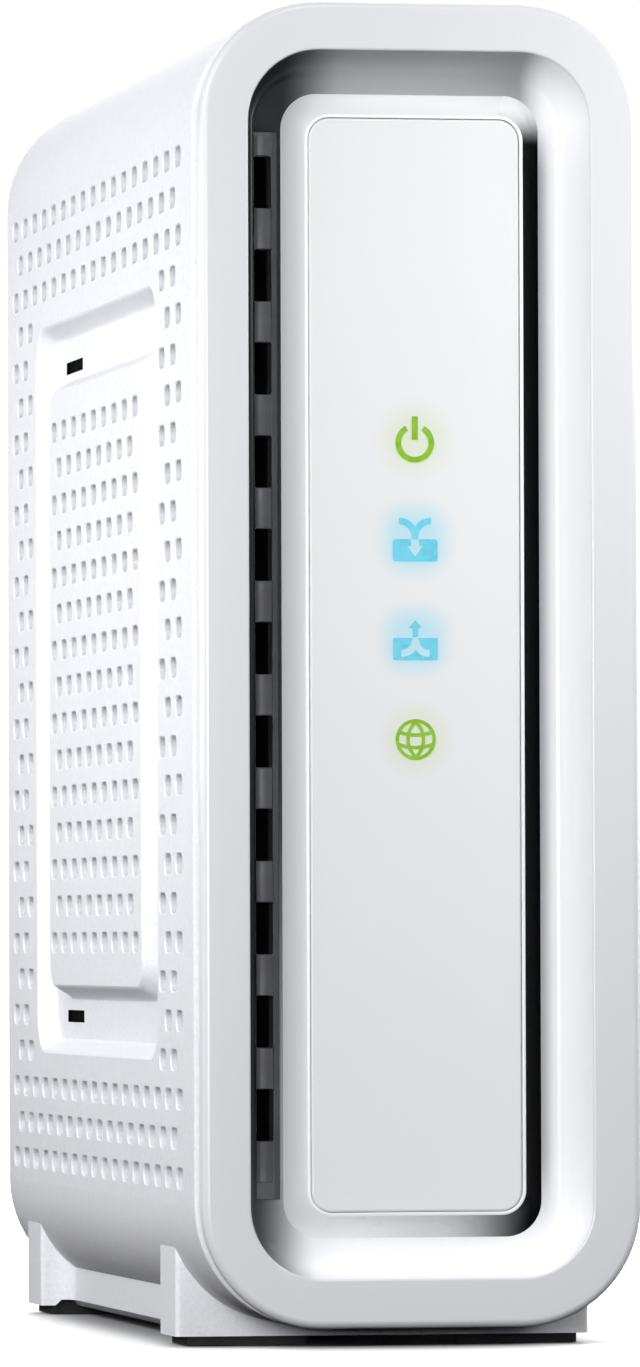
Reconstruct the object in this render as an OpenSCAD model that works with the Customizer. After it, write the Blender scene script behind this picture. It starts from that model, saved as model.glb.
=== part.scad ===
// Upright cable modem with a sculpted front, vented sides and rear connectors.
// X is the width, Y runs from the front face to the back, Z is up. The origin is on the
// surface the feet stand on, midway between the front face and the tip of the coaxial port.

/* [Housing] */
// Height from the standing surface to the top
body_h = 133; // [128:1:138]
// Width of the housing
body_w = 44; // [43:0.5:46]
// Depth of the housing from the front ring to the back face
body_d = 128; // [126:1:134]
// Corner radius of the housing, seen from the front
corner_r = 12; // [10:0.5:13]
// Wall thickness of the two shells
wall = 2; // [1.8:0.1:2.2]
// Height of the housing's underside over the standing surface
under_z = 2.4; // [2.2:0.1:3]

/* [Front] */
// Width of the flat outer ring of the bezel
ring_w = 4.86; // [4.5:0.1:5.2]
// Depth of the groove between the ring and the island
groove_depth = 5.5; // [5:0.1:6]
// Depth of the label plate's face behind the ring's face
plate_depth = 3.05; // [2.5:0.05:3.2]
// Half width of the island at the groove's floor
island_half_w = 12.97; // [12.5:0.1:13.2]
// Half width of the label plate
plate_half_w = 10.9; // [10.5:0.1:11]
// Number of air slots in the left side of the groove
air_slots = 11; // [9:1:11]

/* [Side vents] */
// Rows of vent holes on each side
vent_rows = 27; // [25:2:27]
// Distance between rows
vent_row_pitch = 3.906; // [3.8:0.01:3.95]
// Vent holes in a full row
vent_cols = 17; // [16:1:17]
// Distance between holes in a row
vent_col_pitch = 6.668; // [6.4:0.01:6.7]
// Length of one vent hole
vent_l = 4.2; // [3.6:0.1:4.4]
// Height of one vent hole
vent_h = 2; // [1.6:0.1:2.2]
// Depth of the channel pressed into each side
channel_depth = 2; // [1.6:0.1:2.2]

/* [Feet] */
// Length of each foot along the housing
foot_l = 9.6; // [9:0.1:11]
// Thickness of a rubber pad
pad_t = 1.35; // [1.2:0.05:1.5]

/* [Connectors] */
// How far the coaxial port stands out behind the housing
port_out = 7; // [6:0.5:9]
// Radius of the coaxial port's thread
port_r = 4.7625; // [4.7:0.01:4.8]
// Height of the upper Ethernet port's centre
jack_1_z = 97; // [95:0.5:98]
// Height of the lower Ethernet port's centre
jack_2_z = 76; // [74:0.5:77]
// Height of the coaxial port's centre
coax_z = 50; // [48:0.5:51]
// Height of the power jack's centre
power_z = 24; // [23:0.5:28]
// Height of the reset button's centre
reset_z = 114; // [113:0.5:115]
// Travel of the reset button
reset_travel = 0.5; // [0.25:0.05:0.6]

/* [Hidden] */
$fn = 48;

half_w = body_w / 2;
y_front = -(body_d + port_out) / 2;
mid_z = (body_h + under_z) / 2;

// Front ring, side band and where the shells begin, as depths behind the ring's face
ring_edge = 0.9;
band_inset = 0.45;
shell_front = 4.6;
spigot_end = 7.6;
floor_end = 7;
spigot_gap = 0.15;

// Front plate and its icons
island_half_h = 56.5;
plate_half_h = 54.25;
plate_t = 1.2;
plate_gap = 0.05;
plate_rim = 0.25;
// Reference heights of the icons: middle of the rings, top of the boxes
icon_z = [89.6, 80.1, 70.35, 60.3];
icon_t = 0.5;
window_z = [89.9, 79.9, 70.1, 60.3];
window_half = 2.8;
guide_x = -5.9;

// Air slots in the groove
slot_w = 1.7;
slot_h = 5.14;
slot_pitch = 9.21;
slot_top_z = 115.4;
slot_x = -14.77;
grille_x = [-16.1, -13.25];
grille_z = [14.7, 120.6];

// Side channel and its island, as depths behind the front face and heights
channel_d = [26, 105.5];
channel_z = [28.5, 106.8];
side_island_d = [36.2, 96.3];
side_island_z = [35.9, 99.2];
channel_slope = 1.6;
latch_d = [85.6, 96.6];
latch_h = 1.1;
vent_d = 13.28;
vent_top_z = 118.5;

// Feet and the pedestal web between them
foot_half_w = 21.1;
foot_bottom = 0.95;
foot_d = [21.3, 109.1];
web_half_w = 17.6;
web_bottom = 1.6;
pad_x = [7.5, 20];
pad_inset = 0.5;

// Rear panel
rear_wall = 2.4;
panel_half_w = 15;
panel_half_h = 59;
panel_r = 5;
panel_d = [124.1, 126.1];
ledge = 1.5;
face_d = 126.6;
panel_screw_at = [[-10.8, 121.5], [10.8, 13.5]];
panel_cut = [120, 130];
reset_hole_r = 1.7;

// Screws: the shank, the pilot hole it holds in and the boss round that
shank_r = 1.08;
pilot_r = 1.1;
boss_r = 3;
recess = [2.6, 0.6];

// Circuit board, its face and the parts' centre lines
board_x = [-7.6, -6];
board_d = [13, 121];
board_z = [11, 123];
board_holes = [[20, 18], [20, 116], [98, 16], [98, 118]];
jack_x = 0.7;
jack_w = 16;
jack_h = 13.4;
jack_l = 21;
shield_t = 0.25;
coax_x = 1;
power_x = 0.5;
reset_x = -2.5;

// Coaxial port: the shank under the nut has the thread's root radius
thread_depth = 0.44;
fit_gap = 0.02;
nut_d = [panel_d[1] + 0.6, panel_d[1] + 3];
thread_d = [nut_d[1] + 0.1, body_d + port_out];
coax_bore_r = 3.2;

// Power jack
power_size = [11, 9];
power_bore_r = 3.2;
power_bore_depth = 9.5;

// Outlines in the X-Z plane, and how they become solids
module round_rect(x0, x1, z0, z1, r) {
    translate([x0 + r, z0]) square([x1 - x0 - 2 * r, z1 - z0]);
    translate([x0, z0 + r]) square([x1 - x0, z1 - z0 - 2 * r]);
    for (x = [x0 + r, x1 - r], z = [z0 + r, z1 - r])
        translate([x, z]) circle(r);
}

module house_outline(inset) {
    round_rect(inset - half_w, half_w - inset, under_z + inset, body_h - inset, corner_r - inset);
}

// A flat outline between two depths behind the front face
module slab(d0, d1) {
    translate([0, y_front + d1, 0]) rotate([90, 0, 0]) linear_extrude(d1 - d0) children();
}

// A box given by its X range, its depth range behind the front face and its Z range
module block(x, d, z) {
    translate([x[0], y_front + d[0], z[0]]) cube([x[1] - x[0], d[1] - d[0], z[1] - z[0]]);
}

// A round bar along Y between two depths
module bar_y(x, z, d0, d1, r) {
    translate([x, y_front + d1, z]) rotate([90, 0, 0]) cylinder(h = d1 - d0, r = r);
}

// A round bar along X between two X values
module bar_x(x0, x1, d, z, r) {
    translate([x0, y_front + d, z]) rotate([0, 90, 0]) cylinder(h = x1 - x0, r = r);
}

// A flat outline in the depth-height plane, between two X values
module side_slab(x0, x1) {
    translate([x0, y_front, 0]) rotate([90, 0, 90]) linear_extrude(x1 - x0) children();
}

function span(centre, size) = [centre - size / 2, centre + size / 2];
function grown(range, by) = [range[0] - by, range[1] + by];

module side_outline(d, z, r) {
    round_rect(d[0], d[1], z[0], z[1], r);
}

// Vent holes: a full row where nothing interrupts it, else only the two at each end,
// and the rows that cross the side island carry holes on the island as well
function row_cols(row) = vent_cols - row % 2;
function near_end(row, col) = col < 2 || col >= row_cols(row) - 2;
function on_island(row, col) = row >= 6 && row <= 20 && col >= 4 && col < row_cols(row) - 4;
function full_row(row) = row < 3 || row >= vent_rows - 3;
function has_vent(row, col) = full_row(row) || near_end(row, col) || on_island(row, col);

module vent_outline() {
    straight = vent_l - vent_h;
    square([straight, vent_h], center = true);
    for (x = [-straight / 2, straight / 2])
        translate([x, 0]) circle(vent_h / 2);
}

module vents() {
    for (row = [0 : vent_rows - 1])
        for (col = [0 : row_cols(row) - 1])
            if (has_vent(row, col))
                translate([vent_d + (col + (row % 2) / 2) * vent_col_pitch, vent_top_z - row * vent_row_pitch])
                    vent_outline();
}

// The channel around the side island, cut from the left side, with sloping walls
module side_channel() {
    floor_x = channel_depth - half_w;
    difference() {
        hull() {
            side_slab(-half_w - 0.5, -half_w) side_outline(channel_d, channel_z, 5);
            side_slab(floor_x - 0.1, floor_x)
                side_outline(grown(channel_d, -channel_slope), grown(channel_z, -channel_slope), 4);
        }
        hull() {
            side_slab(-half_w - 1, -half_w) side_outline(side_island_d, side_island_z, 3);
            side_slab(floor_x, floor_x + 0.1)
                side_outline(grown(side_island_d, channel_slope), grown(side_island_z, channel_slope), 4);
        }
    }
    for (z = [101.6, 32.5])
        side_slab(-half_w, -half_w + 5) side_outline(latch_d, span(z, latch_h), 0.3);
}

module foot_blocks() {
    for (d = foot_d)
        block([-foot_half_w, 0], [d, d + foot_l], [foot_bottom, 10]);
    block([-web_half_w, 0], [foot_d[0], foot_d[1] + foot_l], [web_bottom, 8]);
}

module pad_pockets(grow) {
    for (d = foot_d)
        block([-pad_x[1] - grow, -pad_x[0] + grow],
            [d + pad_inset - grow, d + foot_l - pad_inset + grow], [0, pad_t + grow]);
}

// Left half of the case without its bosses
module half_case() {
    difference() {
        union() {
            intersection() {
                slab(shell_front, body_d) house_outline(0);
                block([-half_w, 0], [0, body_d], [0, body_h]);
            }
            foot_blocks();
        }
        difference() {
            slab(shell_front - 1, body_d - rear_wall) house_outline(wall);
            side_slab(-half_w, channel_depth + wall - half_w)
                side_outline(grown(channel_d, 2), grown(channel_z, 2), 6);
            slab(panel_d[0] - ledge, body_d) difference() {
                house_outline(wall / 2);
                panel_outline(-ledge);
            }
        }
        slab(panel_d[0], body_d + 1) panel_outline(0.15);
        side_channel();
        side_slab(-half_w - 1, -half_w + 6) vents();
        pad_pockets(0.02);
    }
}

module panel_outline(grow) {
    round_rect(-panel_half_w - grow, panel_half_w + grow,
        mid_z - panel_half_h - grow, mid_z + panel_half_h + grow, panel_r + grow);
}

// A boss behind the rear panel that takes one of its screws
module panel_boss(at) {
    difference() {
        hull() {
            bar_y(at[0], at[1], 116, panel_d[0], boss_r);
            block(span(at[0] + sign(at[0]) * 6, 3), [116, panel_d[0]], span(at[1], 2 * boss_r));
        }
        bar_y(at[0], at[1], 115, panel_d[0] + 1, pilot_r);
    }
}

module left_shell() {
    color("white") {
        half_case();
        panel_boss(panel_screw_at[0]);
        for (at = board_holes)
            difference() {
                bar_x(-half_w + wall / 2, board_x[0], at[0], at[1], boss_r);
                bar_x(board_x[0] - 8, board_x[0] + 1, at[0], at[1], pilot_r);
            }
    }
}

module right_shell() {
    color("whitesmoke") {
        mirror([1, 0, 0]) half_case();
        panel_boss(panel_screw_at[1]);
    }
}

// Front bezel: ring, groove and island
module island_outline(half_width, half_height, r) {
    round_rect(-half_width, half_width, mid_z - half_height, mid_z + half_height, r);
}

module groove_space() {
    inset = 1.2;
    hull() {
        slab(-0.5, 0) house_outline(ring_w);
        slab(groove_depth - 0.1, groove_depth) house_outline(ring_w + inset);
    }
}

module island() {
    hull() {
        slab(groove_depth, groove_depth + 0.5) island_outline(island_half_w, island_half_h, 3.6);
        slab(plate_depth, plate_depth + 0.1) island_outline(plate_half_w, plate_half_h, 2.4);
    }
}

// Cross-section of the dark strip along the island's right flank
module strip_section(grow) {
    polygon([[plate_half_w + 0.05, -plate_depth - 0.05], [island_half_w, -groove_depth],
        [island_half_w - 0.9 - grow, -groove_depth], [plate_half_w - grow, -plate_depth - 1.1],
        [plate_half_w - grow, -plate_depth - 0.05]]);
}

module strip(z0, z1, grow) {
    translate([0, y_front, z0]) mirror([0, 1, 0]) linear_extrude(z1 - z0) strip_section(grow);
}

module front_bezel() {
    color("white") difference() {
        union() {
            difference() {
                union() {
                    slab(0, ring_edge) house_outline(0);
                    slab(ring_edge, shell_front) house_outline(band_inset);
                    slab(shell_front, spigot_end) house_outline(wall + spigot_gap);
                }
                groove_space();
            }
            island();
        }
        slab(floor_end, spigot_end + 1) house_outline(wall + spigot_gap + 1.4);
        slab(plate_depth - 1, plate_depth + plate_t)
            island_outline(plate_half_w - plate_rim, plate_half_h - plate_rim, 2.2);
        for (z = window_z)
            block(span(0, 2 * window_half), [plate_depth, floor_end + 1], span(z, 2 * window_half));
        block(grown(grille_x, plate_gap), [groove_depth - 1, floor_end + 1], grown(grille_z, plate_gap));
        strip(18, 117, 0.02);
    }
}

module vent_grille() {
    color("dimgray") difference() {
        union() {
            block(grille_x, [groove_depth, floor_end + 0.1], grille_z);
            block(grown(grille_x, 0.8), [floor_end + 0.1, floor_end + 1], grown(grille_z, 0.8));
        }
        for (i = [0 : air_slots - 1])
            block(span(slot_x, slot_w), [groove_depth - 1, floor_end + 2],
                span(slot_top_z - i * slot_pitch, slot_h));
    }
}

module trim_strip() {
    color("black") strip(18.05, 116.95, 0);
}

// Icons as flat outlines, each about its own reference point
module ring_outline(r, stroke) {
    difference() {
        circle(r);
        circle(r - stroke);
    }
}

module power_outline() {
    difference() {
        ring_outline(1.94, 0.56);
        polygon([[0, 0], [1.7, 3], [-1.7, 3]]);
    }
    translate([-0.3, 0.3]) square([0.6, 2.33]);
}

// A quarter ring that runs from the centre line's foot upwards and out to one side
module branch_outline(side, r, width) {
    translate([side * (r - width / 2), 0]) intersection() {
        ring_outline(r, width);
        translate([side > 0 ? -r : 0, 0]) square(r);
    }
}

module branches_outline(r, width) {
    for (side = [-1, 1])
        branch_outline(side, r, width);
}

// Box with a downward arrow left open, and two branches that flow into it from above
module downstream_outline() {
    difference() {
        round_rect(-2.25, 2.25, -2.2, 0, 0.3);
        translate([-0.42, -0.7]) square([0.84, 1]);
        polygon([[-0.78, -0.68], [0.78, -0.68], [0, -1.76]]);
    }
    translate([-0.31, 0]) square([0.62, 0.2]);
    translate([0, 0.2]) branches_outline(1.91, 0.62);
}

// Box with two branches left open, and an arrow that rises from it
module upstream_outline() {
    difference() {
        round_rect(-2.25, 2.25, -2.2, 0, 0.2);
        translate([-0.36, -0.2]) square([0.72, 0.4]);
        translate([0, -0.1]) mirror([0, 1]) branches_outline(1.8, 0.72);
    }
    translate([-0.24, 0.1]) square([0.48, 1]);
    polygon([[-0.62, 1], [0.62, 1], [0, 1.72]]);
}

module globe_outline() {
    stroke = 0.34;
    globe_r = 2.02;
    meridian_r = 2.49;
    parallel_r = 5;
    ring_outline(globe_r, stroke);
    intersection() {
        circle(globe_r - stroke / 2);
        union() {
            for (side = [-1, 1])
                translate([side * (meridian_r - 0.95), 0]) ring_outline(meridian_r, stroke);
            for (z = [0.28, -0.96])
                translate([0, z + parallel_r]) ring_outline(parallel_r, stroke);
        }
    }
}

// One icon: an inlay in the face of the label plate
module icon_inlay(z) {
    translate([0, 0, z]) slab(plate_depth, plate_depth + icon_t) children();
}

module icon_cut(z) {
    translate([0, 0, z]) slab(plate_depth - 1, plate_depth + icon_t) children();
}

module label_plate() {
    edge = plate_rim + plate_gap;
    color("gainsboro") difference() {
        slab(plate_depth, plate_depth + plate_t)
            island_outline(plate_half_w - edge, plate_half_h - edge, 2.2 - plate_gap);
        icon_cut(icon_z[0]) power_outline();
        icon_cut(icon_z[1]) downstream_outline();
        icon_cut(icon_z[2]) upstream_outline();
        icon_cut(icon_z[3]) globe_outline();
    }
}

module power_icon() {
    color("yellowgreen") icon_inlay(icon_z[0]) power_outline();
}

module downstream_icon() {
    color("skyblue") icon_inlay(icon_z[1]) downstream_outline();
}

module upstream_icon() {
    color("skyblue") icon_inlay(icon_z[2]) upstream_outline();
}

module online_icon() {
    color("yellowgreen") icon_inlay(icon_z[3]) globe_outline();
}

// Light guide: a neck behind each icon, a foot that reaches the board, one carrier bar
module light_guide() {
    neck = span(0, 2 * window_half - 0.2);
    color("lightcyan") {
        for (z = window_z) {
            block(neck, [plate_depth + plate_t, 8], span(z, 2 * window_half - 0.2));
            block([guide_x, neck[1]], [8, 11.8], span(z, 2 * window_half - 0.2));
        }
        block([guide_x, -3], [11.8, 12.8], [window_z[3] - 2.5, window_z[0] + 2.5]);
    }
}

module light_shield() {
    color("black") difference() {
        block([-7.4, 4], [floor_end + 0.1, 11.6], [window_z[3] - 5, window_z[0] + 5]);
        for (z = window_z)
            block([guide_x - 0.1, window_half], [floor_end - 1, 12], span(z, 2 * window_half));
    }
}

// Rear panel with its openings
module rear_panel() {
    gap = 0.2;
    color("white") difference() {
        slab(panel_d[0], panel_d[1]) panel_outline(0);
        for (z = [jack_1_z, jack_2_z])
            block(span(jack_x, jack_h + 2 * gap), panel_cut, span(z, jack_w + 2 * gap));
        block(span(power_x, power_size[0] + 2 * gap), panel_cut, span(power_z, power_size[1] + 2 * gap));
        bar_y(coax_x, coax_z, panel_cut[0], panel_cut[1], port_r + gap);
        bar_y(reset_x, reset_z, panel_cut[0], panel_cut[1], reset_hole_r);
        for (at = panel_screw_at)
            bar_y(at[0], at[1], panel_cut[0], panel_cut[1], shank_r + 0.37);
    }
}

module rating_label() {
    color("silver") slab(panel_d[1], panel_d[1] + 0.1) round_rect(-7, 9, 33.5, 41.5, 0.8);
}

module foot_pads() {
    color("black") for (side = [0, 1])
        mirror([side, 0, 0]) pad_pockets(0);
}

// Circuit board and what stands on it
module on_board(d, z, size_d, size_z, height) {
    block([board_x[1], board_x[1] + height], span(d, size_d), span(z, size_z));
}

module main_board() {
    color("seagreen") difference() {
        block(board_x, board_d, board_z);
        for (at = board_holes)
            bar_x(board_x[0] - 1, board_x[1] + 1, at[0], at[1], 1.6);
    }
}

chip_d = 60;
chip_z = 87;
chip_t = 2.2;
thermal_t = 1;
sink_x = board_x[1] + chip_t + thermal_t;

module system_chip() {
    color("dimgray") on_board(chip_d, chip_z, 27, 27, chip_t);
}

module thermal_pad() {
    color("lightblue") translate([chip_t, 0, 0]) on_board(chip_d, chip_z, 25, 25, thermal_t);
}

module heat_sink() {
    base_t = 2;
    fins = 11;
    fin_pitch = 4.6;
    color("silver") {
        block([sink_x, sink_x + base_t], span(chip_d, 54), span(chip_z, 48));
        for (i = [0 : fins - 1])
            block([sink_x + base_t, sink_x + 15], span(chip_d, 54),
                span(chip_z + (i - (fins - 1) / 2) * fin_pitch, 1.2));
    }
}

module tuner_shield() {
    color("lightgray") difference() {
        on_board(90, 48, 32, 28, 5);
        for (i = [0 : 3])
            bar_x(-2, 2, 79 + i * 7.4, 55, 1);
    }
}

module memory_chips() {
    color("dimgray") for (z = [42, 55])
        on_board(32, z, 13, 9, 1.1);
}

module flash_chip() {
    color("dimgray") on_board(52, 43, 12, 8, 1.1);
}

module network_chip() {
    color("dimgray") on_board(58, 53, 9, 9, 0.9);
}

module lan_transformers() {
    color("black") for (z = [jack_1_z, jack_2_z])
        on_board(97, z, 12, 12, 5.8);
}

module crystal() {
    color("silver") on_board(66, 44, 4, 9, 3.2);
}

module inductors() {
    color("gray") for (d = [88, 101])
        on_board(d, 25, 10, 10, 5);
}

module capacitors() {
    color("darkslateblue") for (d = [64, 75])
        bar_x(board_x[1], board_x[1] + 11, d, 22, 4);
}

module chip_parts() {
    color("tan") {
        for (i = [0 : 9])
            on_board(26 + i * 3, 33, 1, 2, 0.8);
        for (i = [0 : 7])
            on_board(24, 60 + i * 5, 2, 1, 0.8);
    }
}

module status_leds() {
    color("lightyellow") for (z = window_z)
        on_board(14.6, z, 1.6, 3, 1.4);
}

// Ethernet port: plastic housing with a stepped opening, its keyway towards the board
module jack_body(z) {
    inner_h = jack_h - 2 * shield_t;
    inner_w = jack_w - 2 * shield_t;
    color("dimgray") difference() {
        block(span(jack_x, inner_h), [face_d - jack_l + shield_t, face_d], span(z, inner_w));
        block([jack_x - 2.6, jack_x + 4.4], [face_d - 15, face_d + 1], span(z, 11.8));
        block([jack_x - 4.2, jack_x - 2], [face_d - 9, face_d + 1], span(z, 6.4));
        block([jack_x - 5.5, jack_x - 4], [face_d - 9, face_d + 1], span(z, 3.2));
        for (side = [-1, 1])
            block([jack_x - 5.8, jack_x - 3.4], [face_d - 4.2, face_d + 1], span(z + side * 5.6, 3.1));
    }
}

module ethernet_jack_1() {
    jack_body(jack_1_z);
}

module ethernet_jack_2() {
    jack_body(jack_2_z);
}

module jack_shields() {
    color("silver") for (z = [jack_1_z, jack_2_z])
        difference() {
            block(span(jack_x, jack_h), [face_d - jack_l, face_d - 0.1], span(z, jack_w));
            block(span(jack_x, jack_h - 2 * shield_t), [face_d - jack_l + shield_t, face_d + 1],
                span(z, jack_w - 2 * shield_t));
        }
}

// Eight sloping contact wires in each Ethernet port
module jack_contacts() {
    pitch = 1.02;
    wire = 0.45;
    color("gold") for (z = [jack_1_z, jack_2_z], i = [0 : 7])
        translate([jack_x, y_front + face_d - 14.9, z + (i - 3.5) * pitch - wire / 2])
            linear_extrude(wire)
                polygon([[4.3, 0.1], [4.3, 8], [2.1, 1.4], [2.1, 0.9], [3.6, 0.1]]);
}

module jack_lights() {
    color("palegreen") for (z = [jack_1_z, jack_2_z], side = [-1, 1])
        block([jack_x - 5.7, jack_x - 3.5], [face_d - 4.1, face_d - 0.1], span(z + side * 5.6, 2.9));
}

// Coaxial port
module coax_port() {
    color("silver") difference() {
        union() {
            block(span(coax_x, 13.9), [109, 122.5], span(coax_z, 13));
            bar_y(coax_x, coax_z, 122.5, thread_d[0], port_r - thread_depth);
            bar_y(coax_x, coax_z, thread_d[0], thread_d[1], port_r);
        }
        bar_y(coax_x, coax_z, 112, thread_d[1] + 1, coax_bore_r);
    }
}

module coax_insulator() {
    color("ivory") difference() {
        bar_y(coax_x, coax_z, 112, thread_d[1] - 0.6, coax_bore_r - fit_gap);
        bar_y(coax_x, coax_z, 118, thread_d[1] + 1, 0.6);
    }
}

module coax_contact() {
    color("gold") bar_y(coax_x, coax_z, 118.1, thread_d[1] - 4, 0.5);
}

module coax_nut() {
    flats = 11;
    color("silver") difference() {
        translate([coax_x, y_front + nut_d[1], coax_z]) rotate([90, 0, 0])
            cylinder(h = nut_d[1] - nut_d[0], d = flats / cos(30), $fn = 6);
        bar_y(coax_x, coax_z, panel_cut[0], panel_cut[1], port_r - thread_depth + fit_gap);
    }
}

module coax_washer() {
    color("silver") difference() {
        bar_y(coax_x, coax_z, panel_d[1], nut_d[0], 6.6);
        bar_y(coax_x, coax_z, panel_cut[0], panel_cut[1], port_r + 0.1);
    }
}

// Power jack
module dc_jack() {
    color("black") difference() {
        block(span(power_x, power_size[0]), [face_d - 14, face_d], span(power_z, power_size[1]));
        bar_y(power_x, power_z, face_d - power_bore_depth, face_d + 1, power_bore_r);
    }
}

module dc_pin() {
    color("silver") bar_y(power_x, power_z, face_d - power_bore_depth, face_d - 1.5, 1);
}

// Reset button: a recessed cap, its flange behind the panel and a stem to the switch
module reset_button() {
    color("firebrick") {
        bar_y(reset_x, reset_z, panel_d[0] - 0.1, panel_d[1] - 0.7, 1.5);
        bar_y(reset_x, reset_z, panel_d[0] - 1.4, panel_d[0] - 0.1, 2.4);
    }
}

module reset_plunger() {
    color("white") bar_y(reset_x, reset_z, 117.6, panel_d[0] - 1.4, 1.2);
}

module reset_switch() {
    color("silver") difference() {
        block([board_x[1], board_x[1] + 7], [113.5, 119.4], span(reset_z, 6));
        bar_y(reset_x, reset_z, 117.6 - reset_travel - 0.2, 120, 1.3);
    }
}

// Screws: a head with a cross recess and a plain shank in its pilot hole
module panel_screws() {
    color("gray") for (at = panel_screw_at)
        difference() {
            union() {
                bar_y(at[0], at[1], panel_d[1], panel_d[1] + 1.3, 2.5);
                bar_y(at[0], at[1], 117.5, panel_d[1], shank_r);
            }
            for (size = [recess, [recess[1], recess[0]]])
                block(span(at[0], size[0]), [panel_d[1] + 0.5, panel_d[1] + 2], span(at[1], size[1]));
        }
}

module board_screws() {
    color("gray") for (at = board_holes)
        difference() {
            union() {
                bar_x(board_x[1], board_x[1] + 1.5, at[0], at[1], 2.6);
                bar_x(board_x[0] - 6, board_x[1], at[0], at[1], shank_r);
            }
            for (size = [recess, [recess[1], recess[0]]])
                block([board_x[1] + 0.8, board_x[1] + 2], span(at[0], size[0]), span(at[1], size[1]));
        }
}

left_shell();
right_shell();
front_bezel();
vent_grille();
trim_strip();
label_plate();
power_icon();
downstream_icon();
upstream_icon();
online_icon();
light_guide();
light_shield();
rear_panel();
rating_label();
foot_pads();
main_board();
system_chip();
thermal_pad();
heat_sink();
tuner_shield();
memory_chips();
flash_chip();
network_chip();
lan_transformers();
crystal();
inductors();
capacitors();
chip_parts();
status_leds();
ethernet_jack_1();
ethernet_jack_2();
jack_shields();
jack_contacts();
jack_lights();
coax_port();
coax_insulator();
coax_contact();
coax_nut();
coax_washer();
dc_jack();
dc_pin();
reset_button();
reset_plunger();
reset_switch();
panel_screws();
board_screws();
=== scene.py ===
"""Looks of an upright cable modem: moulded shells and bezel, lit icons, connectors, light and camera."""

from collections import Counter
from math import cos, pi, radians, sin, sqrt

import bmesh
import bpy
import numpy as np
from mathutils import Matrix, Vector
from mathutils.geometry import delaunay_2d_cdt


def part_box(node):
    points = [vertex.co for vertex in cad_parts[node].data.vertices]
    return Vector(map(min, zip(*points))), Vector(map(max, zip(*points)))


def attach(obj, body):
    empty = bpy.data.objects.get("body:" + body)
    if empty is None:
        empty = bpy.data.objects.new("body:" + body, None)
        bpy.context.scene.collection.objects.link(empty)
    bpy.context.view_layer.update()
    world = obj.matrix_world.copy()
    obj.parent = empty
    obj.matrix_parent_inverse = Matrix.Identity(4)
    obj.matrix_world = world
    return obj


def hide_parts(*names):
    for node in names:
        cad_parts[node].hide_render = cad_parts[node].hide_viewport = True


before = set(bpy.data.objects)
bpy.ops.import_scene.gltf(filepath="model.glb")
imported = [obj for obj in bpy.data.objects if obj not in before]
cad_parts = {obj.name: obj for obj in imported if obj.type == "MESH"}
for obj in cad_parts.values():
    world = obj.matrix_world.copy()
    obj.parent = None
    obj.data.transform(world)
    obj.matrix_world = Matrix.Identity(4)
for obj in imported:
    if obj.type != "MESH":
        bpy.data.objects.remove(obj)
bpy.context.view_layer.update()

MM = 0.001
HOUSING = "housing"


def box_mm(node):
    """A CAD node's lowest and highest corners in millimetres."""
    low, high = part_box(node)
    return np.array(low) / MM, np.array(high) / MM


# Reference places, all in millimetres, taken from the frame. A depth is measured back from FRONT
bezel_low, bezel_high = box_mm("front_bezel")
shell_low, shell_high = box_mm("left_shell")
plate_low, plate_high = box_mm("label_plate")
FRONT, BACK = bezel_low[1], shell_high[1]
DEPTH = BACK - FRONT
UNDER, TOP = bezel_low[2], bezel_high[2]
MID_Z = (UNDER + TOP) / 2
HALF_W, HALF_H = bezel_high[0], (TOP - UNDER) / 2

# Moulding details of the housing, and how many faces make a quarter round.
# A size such as CASE is a half width, a half height and a corner radius
CORNER_R = 12.0
CASE = (HALF_W, HALF_H, CORNER_R)
WALL = 2.0
SHELL_FRONT = 4.6
REAR_FILLET = 2.5
ARC = 14


# ---- mesh building

class Build:
    """Points in millimetres and faces that become one piece. Each face keeps a material number."""

    def __init__(self):
        self.points = []
        self.faces = []
        self.paint = []

    def add(self, points):
        start = len(self.points)
        self.points.extend(tuple(float(c) for c in p) for p in points)
        return list(range(start, len(self.points)))

    def face(self, ids, paint=0):
        self.faces.append(tuple(ids))
        self.paint.append(paint)

    def strip(self, a, b, closed=True, skip=(), paint=0):
        """Four-sided faces between two rows of the same length."""
        count = len(a)
        for i in range(count if closed else count - 1):
            if i not in skip:
                j = (i + 1) % count
                self.face((a[i], a[j], b[j], b[i]), paint)

    def loft(self, rows, closed=True, skip=(), paint=0):
        ids = [self.add(row) for row in rows]
        for a, b in zip(ids, ids[1:]):
            self.strip(a, b, closed, skip, paint)
        return ids

    def solid(self, rows):
        """A closed shape through rows, with a flat face at either end."""
        ids = self.loft(rows)
        self.face(ids[0])
        self.face(ids[-1])

    def ring(self, rows):
        """A closed shape whose last row joins its first."""
        ids = self.loft(rows)
        self.strip(ids[-1], ids[0])

    def box(self, low, high):
        (x0, y0, z0), (x1, y1, z1) = low, high
        self.solid([[(x, y, z) for x, z in square_loop(x0, x1, z0, z1)] for y in (y0, y1)])

    def sheet(self, points, triangles):
        ids = self.add(points)
        for t in triangles:
            self.face([ids[k] for k in t])

    def wall(self, loop, to_a, to_b, paint=0):
        """A wall along a closed loop of flat points, between two ways to place it in space."""
        self.loft([[to_a(*p) for p in loop], [to_b(*p) for p in loop]], paint=paint)


def mesh_of(name, build):
    """A Build's faces as a welded mesh whose faces all look outwards."""
    mesh = bpy.data.meshes.new(name)
    mesh.from_pydata([[c * MM for c in p] for p in build.points], [], build.faces)
    mesh.polygons.foreach_set("material_index", build.paint)
    bm = bmesh.new()
    bm.from_mesh(mesh)
    bmesh.ops.remove_doubles(bm, verts=bm.verts, dist=2e-6)
    bmesh.ops.dissolve_degenerate(bm, edges=bm.edges, dist=1e-7)
    bmesh.ops.recalc_face_normals(bm, faces=bm.faces)
    bm.to_mesh(mesh)
    bm.free()
    return mesh


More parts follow.
